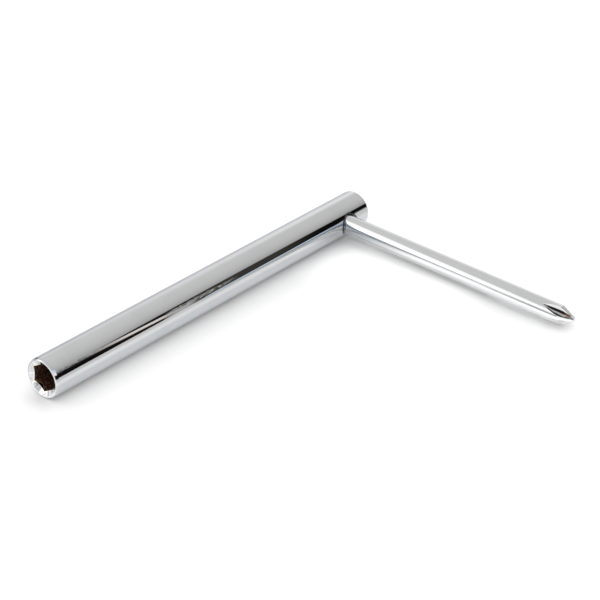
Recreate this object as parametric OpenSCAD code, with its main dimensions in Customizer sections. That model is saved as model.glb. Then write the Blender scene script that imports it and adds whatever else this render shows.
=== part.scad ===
// Truss rod wrench: a round steel tube with a hex socket in its mouth, and a round bar
// through a cross hole near its rear end. The bar's free end is a cross-tip screwdriver.
// Millimetres. The origin is the centre of the tube's mouth, +Y runs along the tube to
// its rear end, +X points the way of the bar's tip and +Z is up. The wrench lies as on
// a table: the tube along its whole length, and the bar on the shoulder of its tip.

/* [Tube] */
// Outside diameter of the tube
tube_d = 10; // [9.5:0.5:14]
// Length of the tube
tube_l = 115; // [80:1:160]
// How far the polished bevel at the mouth cuts in from the outside
mouth_bevel_w = 0.22; // [0.05:0.01:0.3]
// How far the bevel at the mouth runs along the tube
mouth_bevel_l = 0.7; // [0.2:0.1:1.5]
// Radius of the rounded edge at the rear end
rear_round = 0.5; // [0.1:0.1:1]

/* [Socket] */
// Width across the flats of the hex socket
socket_flats = 6.35; // [5:0.05:7.5]
// Depth of the hex from the mouth
socket_depth = 20; // [8:1:35]
// Turn of the hex about the tube, from a corner that points along the bar
socket_turn = 28; // [0:1:60]
// Diameter of the conical lead-in at the mouth
lead_in_d = 8.8; // [8:0.1:9.4]
// Included angle of the lead-in
lead_in_angle = 118; // [90:1:130]
// Diameter of the drilled hole behind the hex
drill_d = 6.2; // [5:0.1:7]
// Depth of the drilled hole from the mouth, without its point
drill_depth = 45; // [30:1:60]
// Included angle of the drill's point
drill_angle = 118; // [90:1:140]

/* [Cross hole] */
// Distance from the rear end of the tube to the bar's axis
hole_from_rear = 8.2; // [5:0.1:15]
// Radial play of the bar in its hole
bar_clearance = 0.08; // [0.02:0.01:0.1]
// Width of the deburred edge where the hole opens
hole_deburr = 0.25; // [0.1:0.05:0.5]

/* [Bar] */
// Diameter of the bar
bar_d = 5; // [4:0.1:6]
// Length of the bar over all
bar_l = 80; // [60:1:110]
// How far the bar's inner end lies inside the tube's outermost line
bar_inset = 0.3; // [0:0.1:1]
// Chamfer on the bar's inner end
bar_chamfer = 0.4; // [0.1:0.1:1]

/* [Cross tip] */
// Diameter of the blunt end of the tip
tip_d = 1.3; // [1:0.1:2]
// Angle between the tip's cone and the bar's axis
tip_half_angle = 26.5; // [20:0.5:35]
// Length of the flutes from the tip to where they run out
flute_l = 8.5; // [6:0.5:12]
// Distance from the bar's axis to the floor of a flute at the tip
flute_core = 0.42; // [0.3:0.02:0.6]
// Included angle of a flute's V
flute_angle = 92; // [80:1:100]
// Height of the first flute above the horizontal, on the mouth's side
flute_turn = 51; // [0:1:90]

/* [Hidden] */
$fn = 96;
// Sides of the socket and flutes of the tip
SIDES = 6;
FLUTES = 4;
// How far every cut runs past the surface that it opens
overrun = 1;

tube_r = tube_d / 2;
bar_r = bar_d / 2;
hole_r = bar_r + bar_clearance;
hole_y = tube_l - hole_from_rear;

// Lead-in and drill point
socket_r = socket_flats / 2 / cos(180 / SIDES);
lead_in_slope = tan(lead_in_angle / 2);
lead_in_l = lead_in_d / 2 / lead_in_slope;
drill_point_l = drill_d / 2 / tan(drill_angle / 2);

// Places along the bar, from the tube's axis
bar_start = bar_inset - tube_r;
tip_x = bar_start + bar_l;
shoulder_x = tip_x - (bar_r - tip_d / 2) / tan(tip_half_angle);

// The tilt that sets the tip's shoulder on the table under the tube
rest_tilt = asin(tube_r / norm([shoulder_x, bar_r])) - atan2(bar_r, shoulder_x);

// A disc-shaped cutter whose edge touches the flute's floor at the tip and leaves the
// bar's surface at the flute's end
flute_rise = bar_r - flute_core;
cutter_r = (flute_l * flute_l + flute_rise * flute_rise) / (2 * flute_rise);
cutter_depth = flute_rise + overrun;

// Stands what is drawn upright, from the mouth up, along the tube
module along_tube() {
    rotate([-90, 0, 0]) children();
}

// Lays what is drawn upright, from the tube's axis up, along the bar
module along_bar() {
    translate([0, hole_y, 0]) rotate([0, 90, 0]) children();
}

// Tilts the whole wrench to the way it lies on a table
module at_rest() {
    rotate([0, rest_tilt, 0]) children();
}

// Half of the tube's outline, bevelled at the mouth and rounded at the rear
module tube_outline() {
    polygon([
        [0, 0],
        [tube_r - mouth_bevel_w, 0],
        [tube_r, mouth_bevel_l],
        [tube_r, tube_l - rear_round],
        [tube_r - rear_round, tube_l],
        [0, tube_l]
    ]);
    translate([tube_r - rear_round, tube_l - rear_round]) circle(r = rear_round);
}

// The hex socket, its conical lead-in and the drilled hole behind it
module socket_cut() {
    rotate([0, 0, socket_turn])
        translate([0, 0, -overrun])
            cylinder(r = socket_r, h = socket_depth + overrun, $fn = SIDES);
    translate([0, 0, -overrun])
        cylinder(r1 = lead_in_d / 2 + overrun * lead_in_slope, r2 = 0, h = lead_in_l + overrun);
    translate([0, 0, -overrun]) cylinder(d = drill_d, h = drill_depth + overrun);
    translate([0, 0, drill_depth]) cylinder(r1 = drill_d / 2, r2 = 0, h = drill_point_l);
}

// The cross hole, with a deburred edge at both walls
module cross_hole_cut() {
    reach = tube_r + overrun;
    translate([0, 0, -reach]) cylinder(r = hole_r, h = 2 * reach);
    for (side = [0, 1])
        mirror([0, 0, side])
            translate([0, 0, tube_r - hole_deburr])
                cylinder(r1 = hole_r, r2 = hole_r + hole_deburr + overrun, h = hole_deburr + overrun);
}

// One V flute: the ring that the cutter's edge sweeps, set over the tip
module flute_cut() {
    spread = cutter_depth * tan(flute_angle / 2);
    translate([0, -(cutter_r + flute_core), tip_x])
        rotate([0, 90, 0])
            rotate_extrude()
                polygon([
                    [cutter_r, 0],
                    [cutter_r - cutter_depth, spread],
                    [cutter_r - cutter_depth, -spread]
                ]);
}

module socket_tube() {
    color("silver")
        at_rest()
            difference() {
                along_tube() rotate_extrude() tube_outline();
                along_tube() socket_cut();
                along_bar() cross_hole_cut();
            }
}

module driver_bar() {
    color("gainsboro")
        at_rest()
            along_bar()
                difference() {
                    rotate_extrude()
                        polygon([
                            [0, bar_start],
                            [bar_r - bar_chamfer, bar_start],
                            [bar_r, bar_start + bar_chamfer],
                            [bar_r, shoulder_x],
                            [tip_d / 2, tip_x],
                            [0, tip_x]
                        ]);
                    for (flute = [0 : FLUTES - 1])
                        rotate([0, 0, -(flute_turn + flute * 360 / FLUTES)]) flute_cut();
                }
}

socket_tube();
driver_bar();
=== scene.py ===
# %% [markdown]
# # A chromed truss rod wrench
#
# The real object is a round steel tube with a hex socket in its mouth, and a thinner round bar
# that slides through a cross hole near the tube's other end. The bar is the handle, and its free
# end is a cross-tip screwdriver. Both are turned, cut and then plated with bright chrome.
# This lesson dresses the measured model of that wrench. The measured solids carry the sizes and
# the motion. Here each of them is replaced by a finer skin with rounded edges, and gets its metal.

# %% Load the measured model
import math

import bpy
import numpy as np
from mathutils import Matrix, Vector


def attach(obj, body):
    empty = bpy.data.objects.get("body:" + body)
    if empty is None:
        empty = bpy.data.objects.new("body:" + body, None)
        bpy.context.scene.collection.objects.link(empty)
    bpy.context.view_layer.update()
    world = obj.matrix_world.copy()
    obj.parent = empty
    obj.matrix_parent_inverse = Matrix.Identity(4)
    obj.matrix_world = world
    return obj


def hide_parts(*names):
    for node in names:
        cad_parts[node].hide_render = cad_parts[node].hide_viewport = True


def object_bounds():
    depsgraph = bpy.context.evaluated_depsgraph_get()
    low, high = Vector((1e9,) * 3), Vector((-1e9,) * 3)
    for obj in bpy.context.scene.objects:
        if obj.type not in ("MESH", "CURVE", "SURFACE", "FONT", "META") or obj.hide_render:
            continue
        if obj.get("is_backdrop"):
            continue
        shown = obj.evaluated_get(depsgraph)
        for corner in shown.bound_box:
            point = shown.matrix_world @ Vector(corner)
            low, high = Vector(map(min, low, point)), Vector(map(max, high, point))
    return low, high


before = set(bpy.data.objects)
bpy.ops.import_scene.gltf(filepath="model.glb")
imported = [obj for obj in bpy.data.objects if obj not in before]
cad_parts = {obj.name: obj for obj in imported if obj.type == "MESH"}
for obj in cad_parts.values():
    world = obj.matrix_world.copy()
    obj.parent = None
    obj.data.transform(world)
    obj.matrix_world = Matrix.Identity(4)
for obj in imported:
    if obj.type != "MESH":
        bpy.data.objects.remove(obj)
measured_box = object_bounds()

# %% [markdown]
# ## Sizes
#
# Blender counts in metres, and a wrench is easier to think of in millimetres, so every length
# below is in millimetres and is multiplied by `MM` once, when a mesh is made.
# The wrench lies on a table: the tube along its whole length, and the bar on the shoulder of its
# tip. That turns the whole tool by about two degrees about the tube, which is `REST_TILT`.
# All shapes are drawn in the tool's own directions (x along the bar, y along the tube) and turned
# at the end.

# %% Sizes of the wrench
MM = 0.001

TUBE_R, TUBE_L = 5.0, 115.0
BEVEL_W, BEVEL_L = 0.22, 0.7
REAR_ROUND = 0.5
SOCKET_FLATS, SOCKET_DEPTH, SOCKET_TURN = 6.35, 20.0, 28.0
LEAD_IN_R, LEAD_IN_HALF = 4.4, math.radians(59)
DRILL_R, DRILL_DEPTH = 3.1, 45.0
HOLE_Y, HOLE_R = 106.8, 2.58
BAR_R, BAR_START, BAR_TIP, BAR_CHAMFER = 2.5, -4.7, 75.3, 0.4
TIP_R, TIP_HALF = 0.65, math.radians(26.5)
FLUTE_L, FLUTE_CORE, FLUTE_V = 8.5, 0.42, math.radians(92)

SHOULDER_X = BAR_TIP - (BAR_R - TIP_R) / math.tan(TIP_HALF)
REST_TILT = (math.asin(TUBE_R / math.hypot(SHOULDER_X, BAR_R))
             - math.atan2(BAR_R, SHOULDER_X))
print(f"shoulder at {SHOULDER_X:.3f} mm, tilt {math.degrees(REST_TILT):.4f} degrees")

# %% [markdown]
# ## The camera
#
# The photograph was taken with a long lens from in front, above and to the right. Its place was
# worked out from the tube's two edges, the mouth, the rear end and the bar, whose sizes are known.
# A camera in Blender looks along its own -Z, so its matrix holds the directions right, up and
# backwards as columns.

# %% Set up the camera
CAMERA_AT = Vector((271.34, -239.18, 224.56)) * MM
AZIMUTH, ELEVATION, ROLL = map(math.radians, (-39.290, 29.603, 0.923))
FOCAL_LENGTH, SENSOR_W = 110.85, 36
NEAREST, FARTHEST = 10.0, 50000.0

forward = Vector((math.sin(AZIMUTH) * math.cos(ELEVATION),
                  math.cos(AZIMUTH) * math.cos(ELEVATION),
                  -math.sin(ELEVATION)))
level_right = Vector((math.cos(AZIMUTH), -math.sin(AZIMUTH), 0))
level_up = level_right.cross(forward)
right = math.cos(ROLL) * level_right + math.sin(ROLL) * level_up
up = math.cos(ROLL) * level_up - math.sin(ROLL) * level_right

lens = bpy.data.cameras.new("long_lens")
lens.sensor_width, lens.lens = SENSOR_W, FOCAL_LENGTH
lens.clip_start, lens.clip_end = NEAREST * MM, FARTHEST * MM
camera = bpy.data.objects.new("camera", lens)
turn = Matrix((right, up, -forward)).transposed().to_4x4()
camera.matrix_world = Matrix.Translation(CAMERA_AT) @ turn
bpy.context.scene.collection.objects.link(camera)
bpy.context.scene.camera = camera
print("camera", [round(c, 3) for c in CAMERA_AT], "lens", FOCAL_LENGTH)

# %% [markdown]
# ## Outlines with rounded corners
#
# A lathe makes a part from its half outline, and so does this lesson. A real edge is never quite
# sharp: polishing rounds it, and the rounding is what catches a thin bright line. So each corner
# of an outline gets a small arc. Every point also keeps its true normal, the direction that its
# surface faces, because a mirror finish shows the slightest error in a guessed one.

# %% Round the corners of a half outline


def rounded_outline(corners, radii, steps=6):
    """Points and outward normals of a half outline. Each is (from the axis, along the axis)."""
    corners = [np.array(c, float) for c in corners]
    ways = [(b - a) / np.linalg.norm(b - a) for a, b in zip(corners, corners[1:])]
    points, normals = [corners[0]], [np.array((ways[0][1], -ways[0][0]))]
    for corner, radius, before, after in zip(corners[1:-1], radii, ways, ways[1:]):
        bend = math.atan2(before[0] * after[1] - before[1] * after[0], before @ after)
        start = corner - before * radius * math.tan(bend / 2)
        centre = start - radius * np.array((before[1], -before[0]))
        for part in np.linspace(0, bend, steps + 1):
            way = np.array((before[0] * math.cos(part) - before[1] * math.sin(part),
                            before[0] * math.sin(part) + before[1] * math.cos(part)))
            normal = np.array((way[1], -way[0]))
            points.append(centre + radius * normal)
            normals.append(normal)
    points.append(corners[-1])
    normals.append(np.array((ways[-1][1], -ways[-1][0])))
    return np.array(points), np.array(normals)


print("three corners become", len(rounded_outline([(0, 0), (1, 0), (1, 1)], (0.2,))[0]), "points")

# %% [markdown]
# ## A skin made of grids
#
# The tube's surface is put together from grids of points: one for the turned outside, some round
# the cross hole, some down the socket. Each grid brings its points and their normals. `Skin`
# collects them, joins points that lie on each other, and turns every face so that it looks the way
# its normals do.

# %% Collect grids into one mesh


class Skin:
    def __init__(self):
        self.points, self.normals, self.faces = [], [], []
        self.count = 0

    def grid(self, points, normals):
        """Adds a grid of quads. Both arrays are rows by columns by three."""
        rows, columns = points.shape[:2]
        number = self.count + np.arange(rows * columns).reshape(rows, columns)
        quads = np.stack([number[:-1, :-1], number[:-1, 1:], number[1:, 1:], number[1:, :-1]], -1)
        self.faces.append(quads.reshape(-1, 4))
        self.points.append(points.reshape(-1, 3))
        self.normals.append(np.broadcast_to(normals, points.shape).reshape(-1, 3))
        self.count += rows * columns

    def mesh(self, name):
        """Welds the grids and gives a Blender mesh, tilted to lie on the table."""
        points, normals = np.concatenate(self.points), np.concatenate(self.normals)
        faces = np.concatenate(self.faces)
        a, b, c, d = (points[faces[:, k]] for k in range(4))
        inward = (np.cross(c - a, d - b) * normals[faces].sum(1)).sum(1) < 0
        faces[inward] = faces[inward][:, ::-1]
        _, first, same = np.unique(np.round(points, 4), axis=0, return_index=True,
                                   return_inverse=True)
        same = same.ravel()
        polygons, corner_normals = [], []
        for face in faces:
            kept = [k for k in range(4) if same[face[k]] != same[face[k - 1]]]
            if len(kept) > 2:
                polygons.append([int(same[face[k]]) for k in kept])
                corner_normals += [normals[face[k]] for k in kept]
        made = bpy.data.meshes.new(name)
        made.from_pydata((lie_down(points[first]) * MM).tolist(), [], polygons)
        made.validate()
        set_normals(made, lie_down(np.array(corner_normals)))
        return made


def lie_down(vectors, tilt=REST_TILT):
    """Turns points or directions from the tool's own directions to the way it lies."""
    x, y, z = np.moveaxis(vectors, -1, 0)
    c, s = math.cos(tilt), math.sin(tilt)
    return np.stack([c * x + s * z, y, c * z - s * x], -1)


def set_normals(mesh, normals):
    mesh.polygons.foreach_set("use_smooth", np.ones(len(mesh.polygons), bool))
    normals = normals / np.linalg.norm(normals, axis=1, keepdims=True)
    mesh.normals_split_custom_set(normals.tolist())
    print(f"{mesh.name}: {len(mesh.vertices)} points, {len(mesh.polygons)} faces")


print("lying down, the tip is at", lie_down(np.array([BAR_TIP, 0, 0])).round(2), "mm")

# %% [markdown]
# ## The outside of the tube
#
# The mouth has a thin flat ring and a slim polished bevel, the rear end is rounded, and the long
# wall between them is plain. `turned` spins an outline about the tube. The wall is left open where
# the cross hole passes through both sides.

# %% Turn the tube
AROUND = 240
ANGLES = np.arange(AROUND + 1) * 2 * math.pi / AROUND
HOLE_HALF_COLUMNS, HOLE_ROWS, HOLE_HALF_L = 40, 80, 5.0
tube_skin = Skin()


def turned(points, normals, angles):
    """Grid and normals of an outline spun about the tube through the given angles."""
    c, s = np.cos(angles)[None], np.sin(angles)[None]
    spin = [np.stack([p[:, :1] * c, p[:, 1:] + 0 * c, p[:, :1] * s], -1) for p in (points, normals)]
    return spin[0], spin[1]


CONE_RIM, LIP_ROUND, BEVEL_ROUND = 0.2, 0.12, 0.8
mouth_corners = [(LEAD_IN_R - CONE_RIM, CONE_RIM / math.tan(LEAD_IN_HALF)), (LEAD_IN_R, 0),
                 (TUBE_R - BEVEL_W, 0), (TUBE_R, BEVEL_L), (TUBE_R, HOLE_Y - HOLE_HALF_L)]
mouth_points, mouth_normals = rounded_outline(mouth_corners, (LIP_ROUND, LIP_ROUND, BEVEL_ROUND))
ring_end = 7  # the rows up to this one are the cone's rim and its rounded edge
tube_skin.grid(*turned(mouth_points[ring_end + 1:], mouth_normals[ring_end + 1:], ANGLES))

rear_corners = [(TUBE_R, HOLE_Y + HOLE_HALF_L), (TUBE_R, TUBE_L), (0, TUBE_L)]
rear_points, rear_normals = rounded_outline(rear_corners, (REAR_ROUND,), steps=10)
tube_skin.grid(*turned(rear_points, rear_normals, ANGLES))

side_y = np.linspace(HOLE_Y - HOLE_HALF_L, HOLE_Y + HOLE_HALF_L, HOLE_ROWS + 1)
side_points = np.stack([np.full_like(side_y, TUBE_R), side_y], -1)
side_normals = np.stack([np.ones_like(side_y), np.zeros_like(side_y)], -1)
for start in (HOLE_HALF_COLUMNS, AROUND // 2 + HOLE_HALF_COLUMNS):
    between = ANGLES[start: start + AROUND // 2 - 2 * HOLE_HALF_COLUMNS + 1]
    tube_skin.grid(*turned(side_points, side_normals, between))
print("outline points at the mouth:", len(mouth_points), "at the rear:", len(rear_points))

# %% [markdown]
# ## The cross hole
#
# A drill that meets a round wall leaves a saddle-shaped edge. After polishing and plating that
# edge is round, and as deep a rounding at the sides as at the front. The way to draw it is a ball
# that rolls along the edge inside the metal: where it touches the wall and the hole are the two
# ends of the rounding, and between them the surface is the ball's own, so its normals are known
# as well. The wall round the hole is a square patch with a hole in it, and the two sides of the
# tube are mirror images.

# %% Draw the cross hole with its rounded edges
EDGE_BALL = 0.35
EDGE_ROWS, PATCH_ROWS, BORE_ROWS = 13, 9, 13

reach = HOLE_HALF_COLUMNS * 2 * math.pi / AROUND * TUBE_R
along = np.linspace(0, 1, HOLE_HALF_COLUMNS + 1)[:-1]
whole = np.linspace(-1, 1, 2 * HOLE_HALF_COLUMNS + 1)[:-1]
side_rows = np.linspace(-1, 1, HOLE_ROWS + 1)[:-1] * HOLE_HALF_L
square = np.concatenate([
    np.stack([along * reach, np.full_like(along, HOLE_HALF_L)], -1),
    np.stack([np.full(HOLE_ROWS, reach), -side_rows], -1),
    np.stack([-whole * reach, np.full_like(whole, -HOLE_HALF_L)], -1),
    np.stack([np.full(HOLE_ROWS, -reach), side_rows], -1),
    np.stack([(along - 1) * reach, np.full_like(along, HOLE_HALF_L)], -1),
    [[0, HOLE_HALF_L]],
])
turn_about_bar = np.unwrap(np.arctan2(square[:, 0], square[:, 1]))
cos_a, sin_a = np.cos(turn_about_bar), np.sin(turn_about_bar)

ball_y = (HOLE_R + EDGE_BALL) * cos_a
ball_z = (HOLE_R + EDGE_BALL) * sin_a
ball_x = np.sqrt((TUBE_R - EDGE_BALL) ** 2 - ball_z ** 2)
ball = np.stack([ball_x, ball_y, ball_z], -1)
to_hole = np.stack([0 * cos_a, -cos_a, -sin_a], -1)
to_wall = np.stack([ball_x, 0 * ball_y, ball_z], -1) / (TUBE_R - EDGE_BALL)
between = np.arccos((to_hole * to_wall).sum(-1))[None, :, None]
share = np.linspace(0, 1, EDGE_ROWS)[:, None, None]
edge_normals = (np.sin((1 - share) * between) * to_hole
                + np.sin(share * between) * to_wall) / np.sin(between)
edge_points = ball + EDGE_BALL * edge_normals

inner = np.stack([np.arctan2(ball_z, ball_x) * TUBE_R, ball_y], -1)
share = np.linspace(0, 1, PATCH_ROWS)[:, None, None] ** 1.4
patch = inner * (1 - share) + square * share
patch_normals = np.stack([np.cos(patch[..., 0] / TUBE_R), 0 * patch[..., 0],
                          np.sin(patch[..., 0] / TUBE_R)], -1)
patch_points = patch_normals * TUBE_R
patch_points[..., 1] = patch[..., 1]

inside_x = np.linspace(1, -1, BORE_ROWS)[:, None] * ball_x[None]
bore_points = np.stack([inside_x, HOLE_R * cos_a + 0 * inside_x, HOLE_R * sin_a + 0 * inside_x], -1)

centre = np.array((0, HOLE_Y, 0))
for side in (1, -1):
    mirror = np.array((side, 1, 1))
    tube_skin.grid(edge_points * mirror + centre, edge_normals * mirror)
    tube_skin.grid(patch_points * mirror + centre, patch_normals * mirror)
tube_skin.grid(bore_points + centre, to_hole)
print(f"edge of the cross hole: {len(square)} points round, reaches "
      f"{(HOLE_R + EDGE_BALL):.2f} mm from the bar's axis")

# %% [markdown]
# ## The hex socket
#
# The maker drills the tube, cuts a shallow cone at its mouth and then drives a hex broach down the
# hole. Where the cone meets the six flats it leaves six scallops, deepest in the middle of each
# flat. All of it follows from one rule, how far the hex is from the axis at a given angle, so the
# socket is drawn as a polar grid: ring, cone, scallops, flats, the small step behind them, and the
# drilled hole with its pointed end.

# %% Draw the inside of the mouth
COLUMN_SHIFT = math.radians(1.0)
socket_angles = ANGLES - COLUMN_SHIFT
flat_r = SOCKET_FLATS / 2
slope = math.tan(LEAD_IN_HALF)
EDGE = 0.04  # how far the softened edge between the cone and a flat reaches each way
CONE_ROWS, FLAT_ROWS, DRILL_ROWS = 7, 17, 9

ring = turned(mouth_points[:ring_end + 1], mouth_normals[:ring_end + 1], socket_angles)
tube_skin.grid(*ring)
seam = np.stack([ring[0][-1], turned(mouth_points[ring_end + 1:ring_end + 2],
                                     mouth_normals[ring_end + 1:ring_end + 2], ANGLES)[0][0]])
tube_skin.grid(seam, np.array((0.0, -1.0, 0.0)))


def polar(r, y, angles):
    return np.stack([r * np.cos(angles), y + 0 * r, r * np.sin(angles)], -1)


columns = AROUND // 6
corner = round((-SOCKET_TURN + math.degrees(COLUMN_SHIFT)) / (360 / AROUND)) % AROUND
for flat in range(6):
    numbers = corner + flat * columns + np.arange(columns + 1)
    angles = numbers * 2 * math.pi / AROUND - COLUMN_SHIFT
    middle = angles.mean()
    hex_r = flat_r / np.cos(angles - middle)
    meet_y = (LEAD_IN_R - hex_r) / slope
    cone_r = np.linspace(mouth_points[0][0], hex_r + EDGE, CONE_ROWS)
    cone_normal = polar(-np.cos(LEAD_IN_HALF) + 0 * angles, -np.sin(LEAD_IN_HALF), angles)
    wall_normal = np.array((-math.cos(middle), 0, -math.sin(middle)))
    tube_skin.grid(polar(cone_r, (LEAD_IN_R - cone_r) / slope, angles), cone_normal)
    tube_skin.grid(np.stack([polar(hex_r + EDGE, meet_y - EDGE / slope, angles),
                             polar(hex_r, meet_y + EDGE, angles)]),
                   np.stack([cone_normal, 0 * cone_normal + wall_normal]))
    depth = np.linspace(0, 1, FLAT_ROWS)[:, None] ** 1.5
    tube_skin.grid(polar(hex_r + 0 * depth, (meet_y + EDGE) * (1 - depth) + SOCKET_DEPTH * depth,
                         angles), wall_normal)
    tube_skin.grid(polar(np.stack([hex_r, 0 * hex_r + DRILL_R]), SOCKET_DEPTH, angles),
                   np.array((0.0, -1.0, 0.0)))

drilled = np.stack([np.full(DRILL_ROWS, DRILL_R),
                    np.linspace(SOCKET_DEPTH, DRILL_DEPTH, DRILL_ROWS)], -1)
drilled_normals = np.tile((-1.0, 0.0), (DRILL_ROWS, 1))
tube_skin.grid(*turned(drilled, drilled_normals, socket_angles))
point = np.stack([np.linspace(DRILL_R, 0, DRILL_ROWS),
                  DRILL_DEPTH + np.linspace(0, DRILL_R, DRILL_ROWS) / slope], -1)
point_normals = np.tile((-math.cos(LEAD_IN_HALF), -math.sin(LEAD_IN_HALF)), (DRILL_ROWS, 1))
tube_skin.grid(*turned(point, point_normals, socket_angles))

tube = bpy.data.objects.new("tube_chromed", tube_skin.mesh("tube_chromed"))
bpy.context.scene.collection.objects.link(tube)
open_edges = len(tube.data.edges) * 2 - len(tube.data.loops)
print("edges with only one face:", open_edges)

# %% [markdown]
# ## Writing nodes as sums
#
# Blender's node trees hold both the rules for shapes and the rules for finishes. Drawing a sum
# with a dozen Math nodes is slow to read, so a `Wire` stands for the output of a node and knows
# how to be added, multiplied and so on: each sum written with wires adds its Math nodes. `Board`
# is a tree, with one method that adds any node: its kind, its settings, then its inputs.

# %% Wires and boards


class Wire:
    """An output of a node. A sum on wires adds its Math nodes."""

    def __init__(self, board, socket):
        self.board, self.socket = board, socket

    def also(self, name):
        """Another output of the same node."""
        return Wire(self.board, self.socket.node.outputs[name])

    def of(self, operation, *others):
        return self.board.math(operation, self, *others)

    def __add__(self, other):
        return self.board.math("ADD", self, other)

    def __sub__(self, other):
        return self.board.math("SUBTRACT", self, other)

    def __rsub__(self, other):
        return self.board.math("SUBTRACT", other, self)

    def __mul__(self, other):
        return self.board.math("MULTIPLY", self, other)

    def __truediv__(self, other):
        return self.board.math("DIVIDE", self, other)

    def __mod__(self, other):
        return self.board.math("MODULO", self, other)

    def __pow__(self, other):
        return self.board.math("POWER", self, other)

    def __abs__(self):
        return self.board.math("ABSOLUTE", self)


class Board:
    """A node tree, and the one way in which nodes are added to it."""

    def __init__(self, tree):
        self.tree = tree

    def node(self, kind, settings=None, inputs=None, out=0):
        made = self.tree.nodes.new(kind)
        for name, value in (settings or {}).items():
            if name == "stops":
                stops = made.color_ramp.elements
                while len(stops) < len(value):
                    stops.new(1)
                for stop, (place, shade) in zip(stops, value):
                    stop.position = place
                    stop.color = (*shade, 1) if isinstance(shade, tuple) else (shade,) * 3 + (1,)
            else:
                setattr(made, name, value)
        for name, value in (inputs or {}).items():
            if isinstance(value, Wire):
                self.tree.links.new(value.socket, made.inputs[name])
            else:
                made.inputs[name].default_value = value
        return Wire(self, made.outputs[out]) if len(made.outputs) else None

    def math(self, operation, *values):
        return self.node("ShaderNodeMath", {"operation": operation}, dict(enumerate(values)))

    def vector(self, x=0.0, y=0.0, z=0.0):
        return self.node("ShaderNodeCombineXYZ", None, {0: x, 1: y, 2: z})

    def ramp(self, value, low, high):
        """0 below low, 1 above high, and a smooth rise between."""
        return self.node("ShaderNodeMapRange", {"interpolation_type": "SMOOTHSTEP"},
                         {"Value": value, "From Min": low, "From Max": high})

    def between(self, value, low, high, soft):
        """1 between two values, with soft edges."""
        return (self.ramp(value, low - soft, low + soft)
                - self.ramp(value, high - soft, high + soft))

    def blend(self, share, first, second):
        """The first colour where the share is 0, the second where it is 1."""
        return self.node("ShaderNodeMix", {"data_type": "RGBA"},
                         {0: share, 6: first, 7: second}, out=2)

    def input(self, name, kind, value=None):
        """Adds a named input to a group, and gives its identifier."""
        socket = self.tree.interface.new_socket(name, in_out="INPUT",
                                                socket_type="NodeSocket" + kind)
        if value is not None:
            socket.default_value = value
        return socket.identifier

    def output(self, name, wire):
        self.tree.interface.new_socket(name, in_out="OUTPUT", socket_type="NodeSocketGeometry")
        self.node("NodeGroupOutput", None, {name: wire})


# %% [markdown]
# ## The bar with its cross tip
#
# The bar is turned from round stock: a chamfer at the hidden end, a long shank, and a cone with a
# blunt point. Then a disc-shaped cutter with a V edge makes four flutes, a quarter turn apart. A
# node tree can work the same way. It needs a lathe first, as a group of its own: a grid of points
# with one row for each point of an outline and one column for each step round the axis. Every
# point looks up its place on the outline, (along the axis, from the axis), and turns it.

# %% A lathe made of nodes
lathe = Board(bpy.data.node_groups.new("lathe", "GeometryNodeTree"))
lathe.input("Outline", "Geometry")
lathe.input("Around", "Int", 96)
outline = lathe.node("NodeGroupInput", out="Outline")
around = outline.also("Around")
rows = lathe.node("GeometryNodeAttributeDomainSize", None, {"Geometry": outline})
net = lathe.node("GeometryNodeMeshGrid", None, {"Vertices X": around + 1, "Vertices Y": rows})
number = lathe.node("GeometryNodeInputIndex")
drawn = lathe.node("GeometryNodeSampleIndex", {"data_type": "FLOAT_VECTOR"}, {
    "Geometry": outline, "Value": lathe.node("GeometryNodeInputPosition"), "Index": number % rows})
drawn = lathe.node("ShaderNodeSeparateXYZ", None, {0: drawn})
turning = (number / rows).of("FLOOR") / around * (2 * math.pi)
far = drawn.also(1)
spun = lathe.node("GeometryNodeSetPosition", None, {
    "Geometry": net,
    "Position": lathe.vector(drawn, far * turning.of("COSINE"), far * turning.of("SINE"))})
spun = lathe.node("GeometryNodeMergeByDistance", None, {"Geometry": spun, "Distance": 1e-4})
lathe.output("Turned", spun)
print("the lathe has", len(lathe.tree.nodes), "nodes")

# %% [markdown]
# The main tree turns the bar and the cutter on that lathe. The cutter's outline is a triangle:
# three points and the first one again. One copy of the cutter is set beside the tip for each
# flute, the copies are cut away, and the bar is laid where it belongs. The sizes are inputs of the
# tree, so a tip of another size is a matter of numbers.

# %% Cut the flutes
plated_bar = bpy.data.materials.new("plated_bar")
FLUTES, FIRST_FLUTE = 4, math.radians(39)
flute_rise = BAR_R - FLUTE_CORE
cutter_r = (FLUTE_L ** 2 + flute_rise ** 2) / (2 * flute_rise)

fluting = Board(bpy.data.node_groups.new("fluted_bar", "GeometryNodeTree"))
fluting.input("Outline", "Geometry")
sizes = {
    "Around": ("Int", 256), "Cutter steps": ("Int", 720), "Flutes": ("Int", FLUTES),
    "Cutter radius": ("Float", cutter_r), "Cutter depth": ("Float", flute_rise + 1),
    "Half angle": ("Float", FLUTE_V / 2), "Core": ("Float", FLUTE_CORE),
    "First flute": ("Float", FIRST_FLUTE), "Tip distance": ("Float", BAR_TIP),
    "Tilt": ("Float", REST_TILT), "Along the tube": ("Float", HOLE_Y),
    "Unit": ("Float", MM), "Finish": ("Material", plated_bar)}
ids = {name: fluting.input(name, kind) for name, (kind, value) in sizes.items()}
outline = fluting.node("NodeGroupInput", out="Outline")
given = {name: outline.also(name) for name in sizes}

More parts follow.
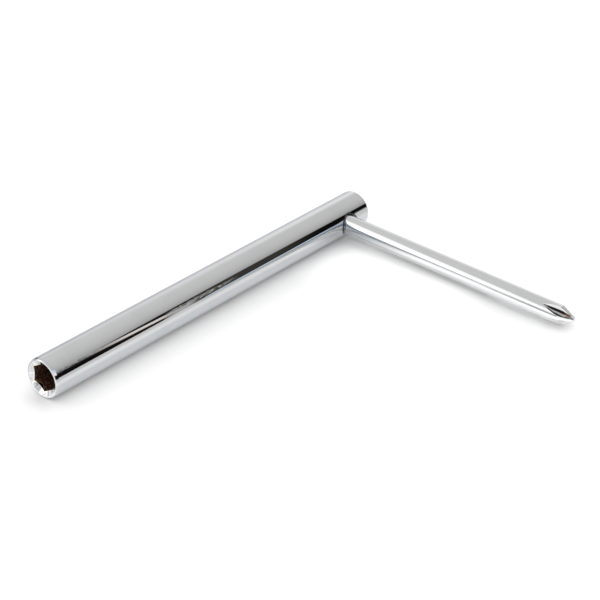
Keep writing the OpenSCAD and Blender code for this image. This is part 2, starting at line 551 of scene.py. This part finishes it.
blank = fluting.node("GeometryNodeGroup", {"node_tree": lathe.tree},
                     {"Outline": outline, "Around": given["Around"]})
beside = fluting.node("GeometryNodeInputIndex") % 3 - 1
cutter = fluting.node("GeometryNodeSetPosition", None, {
    "Geometry": fluting.node("GeometryNodeMeshLine", None, {"Count": 4}),
    "Position": fluting.vector(
        beside * given["Cutter depth"] * given["Half angle"].of("TANGENT"),
        given["Cutter radius"] - given["Cutter depth"] * abs(beside))})
cutter = fluting.node("GeometryNodeGroup", {"node_tree": lathe.tree},
                      {"Outline": cutter, "Around": given["Cutter steps"]})
cutter = fluting.node("GeometryNodeTransform", None, {
    "Geometry": cutter, "Rotation": (0, math.pi / 2, 0),
    "Translation": fluting.vector(given["Tip distance"], given["Cutter radius"] + given["Core"])})
stations = fluting.node("GeometryNodeMeshLine", None,
                        {"Count": given["Flutes"], "Offset": (0, 0, 0)})
share = fluting.node("GeometryNodeInputIndex") / given["Flutes"]
cutters = fluting.node("GeometryNodeInstanceOnPoints", None, {
    "Points": stations, "Instance": cutter,
    "Rotation": fluting.vector(share * (2 * math.pi) + given["First flute"])})
cut = fluting.node("GeometryNodeMeshBoolean", {"operation": "DIFFERENCE", "solver": "EXACT"},
                   {"Mesh 1": blank, "Mesh 2": cutters})
unit = given["Unit"]
laid = fluting.node("GeometryNodeTransform", None, {
    "Geometry": cut, "Translation": fluting.vector(0, given["Along the tube"] * unit),
    "Rotation": fluting.vector(0, given["Tilt"]), "Scale": fluting.vector(unit, unit, unit)})
real = fluting.node("GeometryNodeRealizeInstances", None, {"Geometry": laid})
fluting.output("Fluted bar", fluting.node("GeometryNodeSetMaterial", None, {
    "Geometry": real, "Material": given["Finish"]}))
print("the fluting tree has", len(fluting.tree.nodes), "nodes")

# %% [markdown]
# The outline goes in as a mesh of points, and what comes out is made a plain mesh, so that nothing
# of the tree is left on the finished piece.

# %% Run the tree on the bar's outline
bar_corners = [(0, BAR_START), (BAR_R - BAR_CHAMFER, BAR_START), (BAR_R, BAR_START + BAR_CHAMFER),
               (BAR_R, SHOULDER_X), (TIP_R, BAR_TIP), (0, BAR_TIP)]
CHAMFER_ROUND, SHOULDER_ROUND, POINT_ROUND = 0.08, 0.5, 0.12
bar_outline, bar_outline_normals = rounded_outline(
    bar_corners, (CHAMFER_ROUND, CHAMFER_ROUND, SHOULDER_ROUND, POINT_ROUND))
outline_mesh = bpy.data.meshes.new("bar_outline")
outline_mesh.from_pydata([(x, r, 0) for r, x in bar_outline], [], [])
maker = bpy.data.objects.new("bar_maker", outline_mesh)
bpy.context.scene.collection.objects.link(maker)
flutes = maker.modifiers.new("flutes", "NODES")
flutes.node_group = fluting.tree
for name, (kind, value) in sizes.items():
    flutes[ids[name]] = value

bar_mesh = bpy.data.meshes.new_from_object(
    maker.evaluated_get(bpy.context.evaluated_depsgraph_get()))
bar_mesh.name = "bar_chromed"
maker.modifiers.clear()
bpy.data.objects.remove(maker)
bar = bpy.data.objects.new("bar_chromed", bar_mesh)
bpy.context.scene.collection.objects.link(bar)
print("edges with only one face:", len(bar_mesh.edges) * 2 - len(bar_mesh.loops))

# %% [markdown]
# ## True normals for the bar
#
# Cutting leaves long, uneven faces, and averaged normals would put dents in the reflections.
# Every surface of the bar has a known rule, though: the turned outside follows its outline, and
# each side of a flute is part of a flat cone about the cutter's axis. So each corner of each face
# gets the normal of the rule that fits the face best. The sums are done in the tool's own
# directions, so `lie_down` first turns the bar back by the same tilt.

# %% Give every corner its true normal
bar_points = np.array([v.co for v in bar_mesh.vertices]) / MM - (0, HOLE_Y, 0)
bar_points = lie_down(bar_points, -REST_TILT)
loop_point = np.array([loop.vertex_index for loop in bar_mesh.loops])
loop_face = np.repeat(np.arange(len(bar_mesh.polygons)),
                      [len(p.vertices) for p in bar_mesh.polygons])
face_normal = lie_down(np.array([p.normal for p in bar_mesh.polygons]), -REST_TILT)


def outline_normals(points):
    """Normals of the turned surface: those of the nearest place on the outline."""
    r = np.hypot(points[:, 1], points[:, 2])
    here = np.stack([r, points[:, 0]], -1)[:, None]
    a, b = bar_outline[:-1], bar_outline[1:]
    part = ((here - a) * (b - a)).sum(-1) / np.maximum(((b - a) ** 2).sum(-1), 1e-12)
    part = np.clip(part, 0, 1)
    apart = np.linalg.norm(a + part[..., None] * (b - a) - here, axis=-1)
    best = apart.argmin(1)
    part = part[np.arange(len(best)), best][:, None]
    flat = bar_outline_normals[:-1][best] * (1 - part) + bar_outline_normals[1:][best] * part
    around = points[:, 1:] / np.maximum(r, 1e-9)[:, None]
    return np.stack([flat[:, 1], flat[:, 0] * around[:, 0], flat[:, 0] * around[:, 1]], -1)


def flute_normals(points, angle, side):
    """Normals of one side of the flute at this angle about the bar."""
    outward = np.array((0, math.cos(angle), math.sin(angle)))
    across = np.array((0, -math.sin(angle), math.cos(angle)))
    centre = np.array((BAR_TIP, 0, 0)) + outward * (cutter_r + FLUTE_CORE)
    away = points - centre
    away = away - (away @ across)[:, None] * across
    away /= np.linalg.norm(away, axis=1, keepdims=True)
    return -(away + side * across / math.tan(FLUTE_V / 2))


places = bar_points[loop_point]
rules = [outline_normals(places)]
for flute in range(FLUTES):
    angle = FIRST_FLUTE + flute * 2 * math.pi / FLUTES
    rules += [flute_normals(places, angle, side) for side in (1, -1)]
rules = np.array(rules)
rules /= np.maximum(np.linalg.norm(rules, axis=-1, keepdims=True), 1e-9)
agreement = (rules * face_normal[loop_face]).sum(-1)
face_agreement = np.array([np.bincount(loop_face, a) for a in agreement])
face_rule = face_agreement.argmax(0)
chosen = rules[face_rule[loop_face], np.arange(len(loop_face))]
set_normals(bar_mesh, lie_down(chosen))
print("faces on the turned surface:", int((face_rule == 0).sum()),
      "on the flutes:", int((face_rule > 0).sum()))

# %% [markdown]
# ## Bright chrome
#
# Chrome plating is a mirror that returns a little more than half of the light, very slightly blue.
# What makes it look real is small: lines that polishing left along the part, a faint haze where it
# was handled, and a few pits in the plate. All three are patterns on the piece's own coordinates,
# in millimetres, so they sit still when the part moves. The helper below is shared by the tube and
# the bar, which were polished in different directions.

# %% The chrome both pieces share


class Finish(Board):
    """The node tree of a material, with the piece's own coordinates in millimetres."""

    def __init__(self, material):
        material.use_nodes = True
        super().__init__(material.node_tree)
        self.tree.nodes.clear()
        here = self.node("ShaderNodeTexCoord", out="Object")
        self.place = self.node("ShaderNodeVectorMath", {"operation": "SCALE"},
                               {0: here, "Scale": 1 / MM})
        self.x = self.node("ShaderNodeSeparateXYZ", None, {0: self.place})
        self.y, self.z = self.x.also(1), self.x.also(2)

    def noise(self, scale, detail=2.0, stretch=(1, 1, 1), rough=0.5):
        """A pattern with so many spots to the millimetre, from 0 to 1."""
        place = self.node("ShaderNodeMapping", None, {"Vector": self.place, "Scale": stretch})
        return self.node("ShaderNodeTexNoise", None, {
            "Vector": place, "Scale": scale, "Detail": detail, "Roughness": rough})

    def shader(self, values, bump, bump_depth):
        """The surface. The bump's depth is in millimetres."""
        normal = self.node("ShaderNodeBump", None, {"Height": bump, "Distance": bump_depth * MM})
        metal = self.node("ShaderNodeBsdfPrincipled", None, {**values, "Normal": normal})
        self.node("ShaderNodeOutputMaterial", None, {"Surface": metal})


CHROME = (0.590, 0.592, 0.597, 1)
HAZY_CHROME = (0.570, 0.572, 0.577, 1)
RELIEF = 0.0004  # how many millimetres one unit of height is


def polish(finish, stretch):
    """Height of the plate with its polishing lines and pits, the haze, and where the pits are."""
    lines = finish.noise(6.0, 3.0, stretch)
    waves = finish.noise(0.35, 1.0)
    cells = finish.node("ShaderNodeTexVoronoi", {"feature": "F1"},
                        {"Vector": finish.place, "Scale": 0.9})
    pits = 1 - finish.ramp(cells, 0.02, 0.06)
    haze = finish.ramp(finish.noise(0.16, 3.0), 0.45, 0.75)
    return lines * 0.3 + waves * 4.0 - pits * 2.0, haze, pits


print("chrome returns", [round(c, 2) for c in CHROME[:3]], "of the light")

# %% [markdown]
# ## The tube's finish
#
# Plating is done in a bath, and the bath hardly reaches into a narrow hole. So the cone and the
# first millimetre of the flats are plated, with a creamy edge where the plate gets thin, and the
# bore behind them stays bare steel, browned by oil and air. The wall of the cross hole round the
# bar takes the same dark colour, partly bare steel and partly painted shade in the gap, and a ring
# round the gap is painted dark, as painted shade between bar and tube. Each of these is a mask: how
# deep, how far from the axis, how far round the hex.

# %% Make the tube's material
plated_tube = bpy.data.materials.new("plated_tube")
steel = Finish(plated_tube)
tool_z = steel.z * math.cos(REST_TILT) + steel.x * math.sin(REST_TILT)
from_axis = (steel.x * steel.x + steel.z * steel.z) ** 0.5
round_hex = steel.z.of("ARCTAN2", steel.x) * 6
flat_share = round_hex.of("COSINE") * 0.5 + 0.5
mottle = steel.noise(1.6, 4.0, rough=0.6)
plate_depth = flat_share * 0.8 + mottle * 0.5 + 0.5
in_socket = (1 - steel.ramp(from_axis, 4.3, 4.4)) * (1 - steel.ramp(steel.y, 60, 70))
bare = steel.ramp(steel.y - plate_depth, -0.12, 0.2) * in_socket
cream = steel.ramp(steel.y - plate_depth, -0.9, -0.1) * in_socket
burr = steel.between(steel.y - plate_depth, -0.95, -0.35, 0.1) * in_socket
burr = burr * steel.ramp(steel.noise(1.3, 2.0), 0.5, 0.6) * (1 - steel.ramp(steel.z, -2.2, -0.6))
# Painted shade between bar and tube: the hole's wall takes the dark oiled colour, and a ring round
# the gap is darkened.
from_bar = ((steel.y - HOLE_Y) ** 2 + tool_z * tool_z) ** 0.5
in_gap = 1 - steel.ramp(from_bar, 2.6, 2.7)
gap_shade = steel.between(from_bar, 2.8, 3.2, 0.08) * (mottle * 0.6 + 0.65)

CREAM, SPOT, GAP_SHADE = (0.72, 0.66, 0.55, 1), (0.30, 0.25, 0.22, 1), (0.025, 0.025, 0.03, 1)
DARK_OIL_AND_GAP_SHADE, PALE_OIL_AND_GAP_SHADE = (0.022, 0.008, 0.004, 1), (0.17, 0.085, 0.05, 1)
height, haze, pits = polish(steel, (1, 0.03, 1))
plate = steel.blend(haze, CHROME, HAZY_CHROME)
plate = steel.blend(cream, plate, CREAM)
plate = steel.blend(burr, plate, SPOT)
plate = steel.blend(gap_shade.of("MINIMUM", 1), plate, GAP_SHADE)
oil_and_gap_shade = steel.blend(steel.ramp(mottle, 0.4, 0.68), DARK_OIL_AND_GAP_SHADE, PALE_OIL_AND_GAP_SHADE)
steel.shader({
    "Base Color": steel.blend(bare.of("MAXIMUM", in_gap), plate, oil_and_gap_shade),
    "Metallic": 1 - bare * 0.8,
    "Roughness": haze * 0.008 + pits * 0.2 + 0.008 + cream * 0.1 + bare * 0.3,
}, height + mottle * bare * 20, RELIEF)
tube.data.materials.append(plated_tube)
print("tube material has", len(steel.tree.nodes), "nodes")

# %% [markdown]
# ## The bar's finish
#
# The bar was polished along its length before it was plated. The flutes are plated too, but the
# plate is thin in a groove, and near the point the metal is stained reddish brown. Painted black
# shade runs along the root of each flute, along its outer edge on the upper side of the bar and
# along its other edge near the point, and one flank of each flute is painted pale and less
# metallic, a painted highlight. How deep a place lies under the turned outline tells which places
# are in a flute. How far it lies from the flute's middle plane comes from the turn about the bar,
# folded four times, as the flutes repeat.

# %% Make the bar's material
rod = Finish(plated_bar)
along_bar = rod.x * math.cos(REST_TILT) - rod.z * math.sin(REST_TILT)
above_bar = rod.z * math.cos(REST_TILT) + rod.x * math.sin(REST_TILT)
from_bar = ((rod.y - HOLE_Y) ** 2 + above_bar * above_bar) ** 0.5
cone_r = (BAR_TIP - along_bar) * math.tan(TIP_HALF) + TIP_R
under = cone_r.of("MINIMUM", BAR_R) - from_bar
in_flute = rod.ramp(under, 0.02, 0.08) * rod.ramp(along_bar, BAR_TIP - 9, BAR_TIP - 8)
apart = 2 * math.pi / FLUTES
folded = (above_bar.of("ARCTAN2", rod.y - HOLE_Y) - (FIRST_FLUTE - 5.5 * apart)) % apart - apart / 2
across = from_bar * folded.of("SINE")
to_tip = BAR_TIP - along_bar
# Painted shade: black lines along each flute's root, along its edge on the upper side of the bar,
# and along its other edge near the point.
root_line = rod.between(across - rod.ramp(to_tip, 4.5, 6.5) * 0.18, -0.42, -0.06, 0.06)
root_line = root_line * rod.between(to_tip, 2.8, 8.3, 0.3) * (1 - rod.ramp(to_tip, 6.8, 7.3) * 0.5)
# Painted highlight: one flank of each flute, back from the very point, is pale and less metallic.
flute_highlight = rod.ramp(across, -0.06, 0.04) * rod.ramp(to_tip, 1.9, 2.5)
low_edge = rod.ramp(across + rod.ramp(to_tip, 5.2, 7.4) * 0.3, 0.50, 0.60)
low_edge = low_edge * rod.between(to_tip, 1.0, 7.3, 0.4)
low_edge = low_edge * rod.ramp(above_bar, -0.6, 0)
tip_edge = (1 - rod.ramp(under, 0.16, 0.3)) * (1 - rod.ramp(across, -0.45, -0.3))
tip_edge = tip_edge * rod.between(to_tip, 0.5, 3.9, 0.2)
stain = rod.between(across, -0.55, -0.1, 0.08) * rod.between(to_tip, 1.2, 3.2, 0.3)

FLUTE_GREY, FLUTE_HIGHLIGHT = (0.50, 0.50, 0.50, 1), (0.72, 0.71, 0.70, 1)
RED_STAIN, PAINTED_FLUTE_SHADE = (0.32, 0.17, 0.12, 1), (0.022, 0.016, 0.012, 1)
height, haze, pits = polish(rod, (0.03, 1, 1))
plate = rod.blend(haze, CHROME, HAZY_CHROME)
fluted = rod.blend(flute_highlight, FLUTE_GREY, FLUTE_HIGHLIGHT)
fluted = rod.blend(stain, fluted, RED_STAIN)
black = root_line.of("MAXIMUM", low_edge).of("MAXIMUM", tip_edge)
fluted = rod.blend(black, fluted, PAINTED_FLUTE_SHADE)
rod.shader({
    "Base Color": rod.blend(in_flute, plate, fluted),
    "Metallic": 1 - in_flute * flute_highlight * 0.7,
    "Roughness": haze * 0.02 + pits * 0.2 + 0.012 + in_flute * 0.03,
}, height, RELIEF)
print("bar material has", len(rod.tree.nodes), "nodes")

# %% [markdown]
# ## The studio
#
# A mirror shows the room, so the room is drawn with care: a pale tent, a bright panel in front on
# the left, and a dark doorway behind on the right with a few pale things in it. The doorway gives
# the tube its dark line.
# Where must a thing stand to be seen in a round rod? A ray that a straight rod mirrors keeps its
# part along the rod, and only its turn about the rod changes. So there are two rulers for the
# room, `tube_at` and `bar_at`, the place along each rod where the camera finds a direction
# mirrored, in millimetres, and two turns, `tube_turn` and `bar_turn`, in degrees above the horizon
# on the side that the rod faces. On these rulers every panel is a plain strip.
# A ruler needs two lengths: how far the camera is from the rod, and beside which place of the rod
# it stands. `bearing` and `height` are the plain compass direction and the height in degrees.

# %% Rulers for the room
TUBE_AWAY, BESIDE_TUBE = 347.4, -239.2
BAR_AWAY, BESIDE_BAR = 417.6, 263.3
IN_DEGREES = 180 / math.pi

world = bpy.data.worlds.new("studio")
world.use_nodes = True
world.cycles.sampling_method = "NONE"
bpy.context.scene.world = world
sky = Board(world.node_tree)
sky.tree.nodes.clear()
way = sky.node("ShaderNodeTexCoord", out="Generated")
way_x = sky.node("ShaderNodeSeparateXYZ", None, {0: way})
way_y, way_z = way_x.also(1), way_x.also(2)
height = way_z.of("ARCSINE") * IN_DEGREES
bearing = way_x.of("ARCTAN2", way_y) * IN_DEGREES


def slope_along(part):
    """How steeply a ray runs along a rod, from its part along it. 1.001 keeps it finite."""
    return part / (1.001 - part * part) ** 0.5


tube_turn = way_z.of("ARCTAN2", way_x) * IN_DEGREES
tube_at = slope_along(way_y) * TUBE_AWAY + BESIDE_TUBE
bar_x = way_x * math.cos(REST_TILT) - way_z * math.sin(REST_TILT)
bar_z = way_z * math.cos(REST_TILT) + way_x * math.sin(REST_TILT)
bar_turn = bar_z.of("ARCTAN2", 0 - way_y) * IN_DEGREES
bar_at = slope_along(bar_x) * BAR_AWAY + BESIDE_BAR
print("the rulers have", len(sky.tree.nodes), "nodes")

# %% [markdown]
# The brightness of the tent goes by the turn about a rod, in four grey ramps. Two are for the two
# ends of the tube, darkest just over the doorway and brightest about 150 degrees round. The other
# two are for what only the bar sees, over it and in front of it.

# %% The tent


def column(turn, *stops):
    """Brightness by turn in degrees. A ramp holds values up to 1, so it holds halves."""
    halves = sky.node("ShaderNodeValToRGB", {"stops": [(t / 180, b / 2) for t, b in stops]},
                      {"Fac": turn / 180})
    return sky.node("ShaderNodeVectorMath", {"operation": "SCALE"}, {0: halves, "Scale": 2.0})


def paint(glow, share, red, green, blue):
    """Lays one light of the room over the others."""
    return sky.blend(share, glow, (red, green, blue, 1))


near_mouth = column(tube_turn, (0, 0.95), (36, 0.52), (42, 0.60), (50, 0.665), (60, 0.75),
                    (70, 0.80), (80, 0.835), (100, 0.885), (110, 0.91), (125, 0.92), (138, 0.89),
                    (146, 0.92), (156, 1.06), (163, 0.95), (171, 0.77), (180, 0.72))
near_bar = column(tube_turn, (0, 0.95), (36, 0.52), (42, 0.60), (50, 0.68), (60, 0.755),
                  (70, 0.80), (80, 0.83), (100, 0.855), (110, 0.86), (120, 0.87), (130, 0.98),
                  (140, 1.19), (147, 1.23), (160, 1.10), (172, 0.94), (180, 0.86))
over_bar = column(bar_turn, (0, 1.0), (6, 1.0), (60, 0.93), (90, 0.95), (110, 0.92), (125, 0.90),
                  (180, 0.95))
in_front = column(bar_turn, (0, 1.0), (6, 1.4), (36, 1.4), (50, 1.0), (60, 0.93), (180, 0.93))
glow = sky.blend(tube_at / 100, near_mouth, near_bar)
glow = paint(glow, sky.ramp(tube_turn, 148, 165) * 0.15, 0.75, 0.80, 1.10)
over_bar_only = (1 - sky.ramp(bearing, -60, -48)) * sky.between(way_x, -0.60, -0.40, 0.04)
glow = sky.blend(over_bar_only, glow, over_bar)
glow = sky.blend(sky.ramp(bearing, 88, 100), glow, in_front)
print("the tent has brought them to", len(sky.tree.nodes))

# %% [markdown]
# A bright back wall lights the bar's upper edge. In front on the left stands the panel, with a
# lamp low on it, dark skirting at its foot and a dark cupboard beside it.
# Near the joint the tube mirrors the bar, which mirrors the room, and the other way round. Those
# rays end at directions that no rod shows by itself. There stand a blue wall, for the blue streak
# beside the joint, and a low wall for the bar's first millimetres.

# %% Panels and walls
back_wall = sky.between(bar_at, -5, 90, 10) * sky.ramp(way_y, 0.715, 0.745)
back_wall = back_wall * sky.ramp(bar_turn + bar_at * 0.36, 148, 166) * (bar_at * 0.0135)
glow = paint(glow, back_wall, 1.19, 1.2, 1.23)

panel_top = 68.5 - bar_at * 0.515
on_left = sky.between(bearing, -176, -98, 5)
panel = on_left * sky.ramp(bar_turn, 1, 11) * (1 - sky.ramp(bar_turn - panel_top, -6, 8))
glow = paint(glow, panel, 1.7, 1.7, 1.7)
lamp = on_left * sky.ramp(bar_turn, 10, 22) * (1 - sky.ramp(bar_turn - panel_top, -34, -14))
glow = paint(glow, lamp, 3.5, 3.5, 3.5)
skirting = on_left * (1 - sky.ramp(bar_turn, 0, 4)) * sky.ramp(bar_at, 44, 68)
glow = paint(glow, skirting, 0.08, 0.08, 0.08)
cupboard = sky.between(bearing, -108, -60, 3) * sky.between(height, -2, 22, 3)
glow = paint(glow, cupboard, 0.28, 0.28, 0.30)

blue_wall = sky.between(bearing, 112, 141, 3) * (1 - sky.ramp(height, 35, 55))
glow = paint(glow, blue_wall, 0.42, 0.48, 0.56)
low_wall = sky.ramp(bearing, 140, 143) * (1 - sky.ramp(height, 30, 50))
glow = paint(glow, low_wall, 1.7, 1.85, 1.95)
glow = paint(glow, low_wall * sky.ramp(way_y, -0.878, -0.855), 0.50, 0.62, 0.74)
print("the panels have brought them to", len(sky.tree.nodes))

# %% [markdown]
# The doorway is a black strip between a sill and a lintel, over a blue strip light on the ground.
# In it are, from the mouth's end to the joint's, a speckled curtain, a pale slanting board, a post
# and a speckled crate. The corner at the joint needs two more lights, which neither rod shows by
# itself: a blue window over the doorway, and a side lamp. Anything in the doorway is multiplied by
# its mask, so that it ends at the sill and the lintel.

# %% The doorway
strip_light = sky.between(tube_at, 48, 105, 4) * sky.between(bearing, 20, 60, 2)
glow = paint(glow, strip_light * (1 - sky.ramp(tube_turn, 5, 10)), 1.05, 1.32, 1.60)
sill = sky.ramp(tube_at, 44, 52) * 3 + sky.ramp(tube_at, 104, 111)
sill_blur = sky.ramp(tube_at, 104, 110) * 10 + 2.5
lintel = 36.3 - sky.ramp(tube_at, 50, 115) * 3.5
doorway = sky.between(bearing, 20, 104, 4) * (
    sky.ramp(tube_turn, sill - 1.5, sill - 1.5 + sill_blur)
    - sky.ramp(tube_turn, lintel - 1.5, lintel + 1.5))
glow = paint(glow, doorway, 0.007, 0.006, 0.006)
glow = paint(glow, doorway * sky.between(tube_at, 50, 86, 10), 0.058, 0.053, 0.047)
window = sky.between(bearing, 54, 73, 2) + sky.between(bearing, 90, 112, 2)
window = window * sky.between(tube_turn, 33, 50, 2) * (1 - sky.ramp(way_y, 0.50, 0.55))
glow = paint(glow, window, 1.15, 1.42, 1.75)
speckle = sky.node("ShaderNodeTexNoise", None, {
    "Vector": sky.vector(tube_at * 0.8, tube_turn * 0.17), "Scale": 1.0, "Detail": 2.0})
speckle = (speckle - 0.5) * 3.5 + 0.5
curtain = (1 - sky.ramp(tube_at, 10, 24)) * sky.ramp(tube_turn, 18, 38) * (speckle * 0.9 + 0.35)
glow = paint(glow, curtain * doorway, 0.62, 0.62, 0.62)
board = 1 - sky.ramp(abs(tube_turn - (35.5 - tube_at * 0.55)), 2.5, 9)
board = board * sky.ramp(tube_at, 6, 26) * (1 - sky.ramp(tube_at, 33, 45))
glow = paint(glow, board * doorway, 1.14, 1.04, 0.98)
post = sky.between(tube_at, 37, 46, 3) * (1 - sky.ramp(tube_turn, 12, 24))
glow = paint(glow, post * doorway, 0.62, 0.60, 0.60)
crate_top = 29 - sky.ramp(tube_at, 49, 56) * 6
crate = sky.between(tube_at, 38, 60, 3) * sky.between(tube_turn, 10, crate_top, 3)
glow = paint(glow, crate * doorway * sky.ramp(speckle, 0.1, 1.0), 0.66, 0.65, 0.60)
side_lamp = sky.between(bearing, 68, 92, 3) * sky.between(tube_turn, 21, 36, 3)
glow = paint(glow, side_lamp, 1.5, 1.38, 1.34)
print("the doorway has brought them to", len(sky.tree.nodes))

# %% [markdown]
# Only mirrors see the room. The card under the wrench needs even light and the picture a plain
# background, so diffuse rays and the camera's own see a white dome, a little brighter at the back.

# %% Light for the card and the camera
WHITE, BLACK = (1, 1, 1, 1), (0, 0, 0, 1)
DOME, DOME_SLOPE = 1.32, 0.45

ray = sky.node("ShaderNodeLightPath", out="Is Camera Ray")
plain = ray.also("Is Diffuse Ray").of("MAXIMUM", ray)
room = sky.node("ShaderNodeBackground", None, {"Color": glow})
dome = sky.node("ShaderNodeBackground", None,
                {"Color": WHITE, "Strength": way_y * DOME_SLOPE + DOME})
both = sky.node("ShaderNodeMixShader", None, {0: plain, 1: room, 2: dome})
sky.node("ShaderNodeOutputWorld", None, {"Surface": both})
print("the studio has", len(sky.tree.nodes), "nodes")

# %% [markdown]
# ## The floor
#
# The wrench lies on a sheet of white card, five millimetres below the tube's axis. It is far wider
# than the picture, so that the chrome has a white floor to reflect out to the horizon. The card
# has a slight satin gloss.

# %% Lay the floor
FLOOR_HALF = 4000.0
floor_mesh = bpy.data.meshes.new("floor")
floor_mesh.from_pydata([(sx * FLOOR_HALF * MM, sy * FLOOR_HALF * MM, -TUBE_R * MM)
                        for sx, sy in ((-1, -1), (1, -1), (1, 1), (-1, 1))], [], [(0, 1, 2, 3)])
floor = bpy.data.objects.new("floor", floor_mesh)
bpy.context.scene.collection.objects.link(floor)
white_card = bpy.data.materials.new("white_card")
white_card.cycles.emission_sampling = "NONE"
card = Finish(white_card)
print("floor at", -TUBE_R, "mm")

# %% [markdown]
# In the photograph the card isn't lit evenly, and the chrome shows it: brighter beside the bar,
# beside the tube and in a ring before the mouth, greyer behind the tube and in a strip far out.
# `Light Path` tells what kind of ray is looking, so these places are painted for mirror rays that
# had no diffuse bounce before, and they don't wash out the shadows. It also tells how long the ray
# is, and so which rod it comes from: the bar's rays are the shorter ones beside the bar and on the
# strip. `ACROSS` is the share of such a ray's length that goes across the tube.
# The ring is found by asking which point of the mouth mirrors a place of the card to the camera.
# For each millimetre along the tube, the camera's ray goes `SIDEWAYS` to the left and `DOWN`.

# %% Light the card for the chrome
SIDEWAYS, DOWN, ACROSS = 0.818, 0.734, 0.74

ray = card.node("ShaderNodeLightPath", out="Is Glossy Ray")
ray_length = ray.also("Ray Length") * (1 / MM)
mirrored = ray * (1 - ray.also("Diffuse Depth").of("MINIMUM", 1))
close_in = card.ramp(card.y, 99, 106) * (0.6 - card.ramp(card.x, 35, 60) * 0.4)
by_bar = card.ramp(card.y, 84, 98) * (1 - close_in)
by_bar = by_bar * (card.ramp(card.x, 12, 25) * 0.4 + card.ramp(card.x, 4, 14) * 0.25)
by_bar = by_bar * (1 - card.ramp(ray_length, 18, 26))
by_tube = card.between(card.x, 12, 24, 3) * (1 - card.ramp(card.y, 92, 100)) * 0.2
by_tube = by_tube.of("MAXIMUM", card.between(card.x, 0, 7.2, 2) * 0.143)
mouth_x, mouth_z = card.x - card.y * SIDEWAYS, card.y * -DOWN - TUBE_R
from_mouth_centre = (mouth_x * mouth_x + mouth_z * mouth_z) ** 0.5
by_ring = card.between(from_mouth_centre, 4.1, 5.3, 0.15) * 0.4 + 0.17
by_mouth = (1 - card.ramp(card.y, -0.5, 0.5)) * by_ring
strip = mirrored * card.between(card.x, 42, 64, 3) * card.between(card.y, 50, 91, 3)
strip = strip * (1 - card.ramp(ray_length * ACROSS - card.x, -14, -9))
lit = by_bar.of("MAXIMUM", by_tube).of("MAXIMUM", by_mouth) * (mirrored - strip)
behind = mirrored * (1 - card.ramp(card.x, -14, -6))
print("the card's lights have", len(card.tree.nodes), "nodes")

# %% [markdown]
# The camera's own rays get three small painted corrections: the card glows a little in the corner
# between tube and bar and at the foot of the tip, painted light, and close under the bar its colour
# is darkened, a painted shadow. The last uses `Ambient Occlusion`, which tells how much of the sky
# near things cover, so it goes where the bar goes.

# %% Finish the card
CARD, COOL_CARD = (0.9, 0.9, 0.9, 1), (0.865, 0.90, 0.925, 1)
GREY_CARD, DARK_CARD, SHADED = (0.49, 0.50, 0.52, 1), (0.3, 0.3, 0.3, 1), (0.02, 0.02, 0.02, 1)
GRAIN = 0.001

seen = ray.also("Is Camera Ray")
beside = card.y + card.x * 0.045
foot = card.between(beside, 108.0, 111, 0.8) * card.between(card.x, 52, 71, 5)
pool = card.ramp(card.y, 78, 96) * (1 - card.ramp(card.y, 103, 107))
pool = pool * card.ramp(card.x, 2, 12) * (1 - card.ramp(card.x, 36, 58))
# Painted light: for camera rays the card glows in the corner between tube and bar and at the foot
# of the tip.
shown = seen * (foot * 0.22 + pool * 0.25)
open_sky = card.node("ShaderNodeAmbientOcclusion", {"samples": 4}, {"Distance": 4 * MM}, out="AO")
# Painted shadow: for camera rays the card's colour is darkened close under the bar.
contact = card.between(beside, 108, 111, 1) * card.ramp(card.x, 2, 8) * (1 - open_sky)
contact = contact * (1 - card.ramp(card.x, 20, 60))

# For mirror rays the card beside the tube is painted a cooler white, a painted bluish shade.
tone = card.blend(mirrored * card.between(card.x, 0, 12, 4), CARD, COOL_CARD)
tone = card.blend(behind, tone, GREY_CARD)
tone = card.blend(strip, tone, DARK_CARD)
card.shader({"Base Color": card.blend(seen * contact, tone, SHADED),
             "Roughness": strip * 0.65 + 0.35, "Specular IOR Level": 0.5,
             "Emission Color": card.blend(lit + shown, BLACK, WHITE),
             "Emission Strength": 1.0}, card.noise(2.0), GRAIN)
floor_mesh.materials.append(white_card)
bpy.context.scene.view_settings.view_transform = "Standard"
print("card material has", len(card.tree.nodes), "nodes")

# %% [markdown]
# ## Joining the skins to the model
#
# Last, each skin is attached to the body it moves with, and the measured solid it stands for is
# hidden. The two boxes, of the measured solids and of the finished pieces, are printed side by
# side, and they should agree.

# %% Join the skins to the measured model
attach(tube, "tube")
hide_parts("socket_tube")
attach(bar, "bar")
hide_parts("driver_bar")
floor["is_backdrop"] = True

boxes = {"cad": measured_box, "visual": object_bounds()}
boxes = {name: [[float(c) for c in corner] for corner in box] for name, box in boxes.items()}
print(boxes)
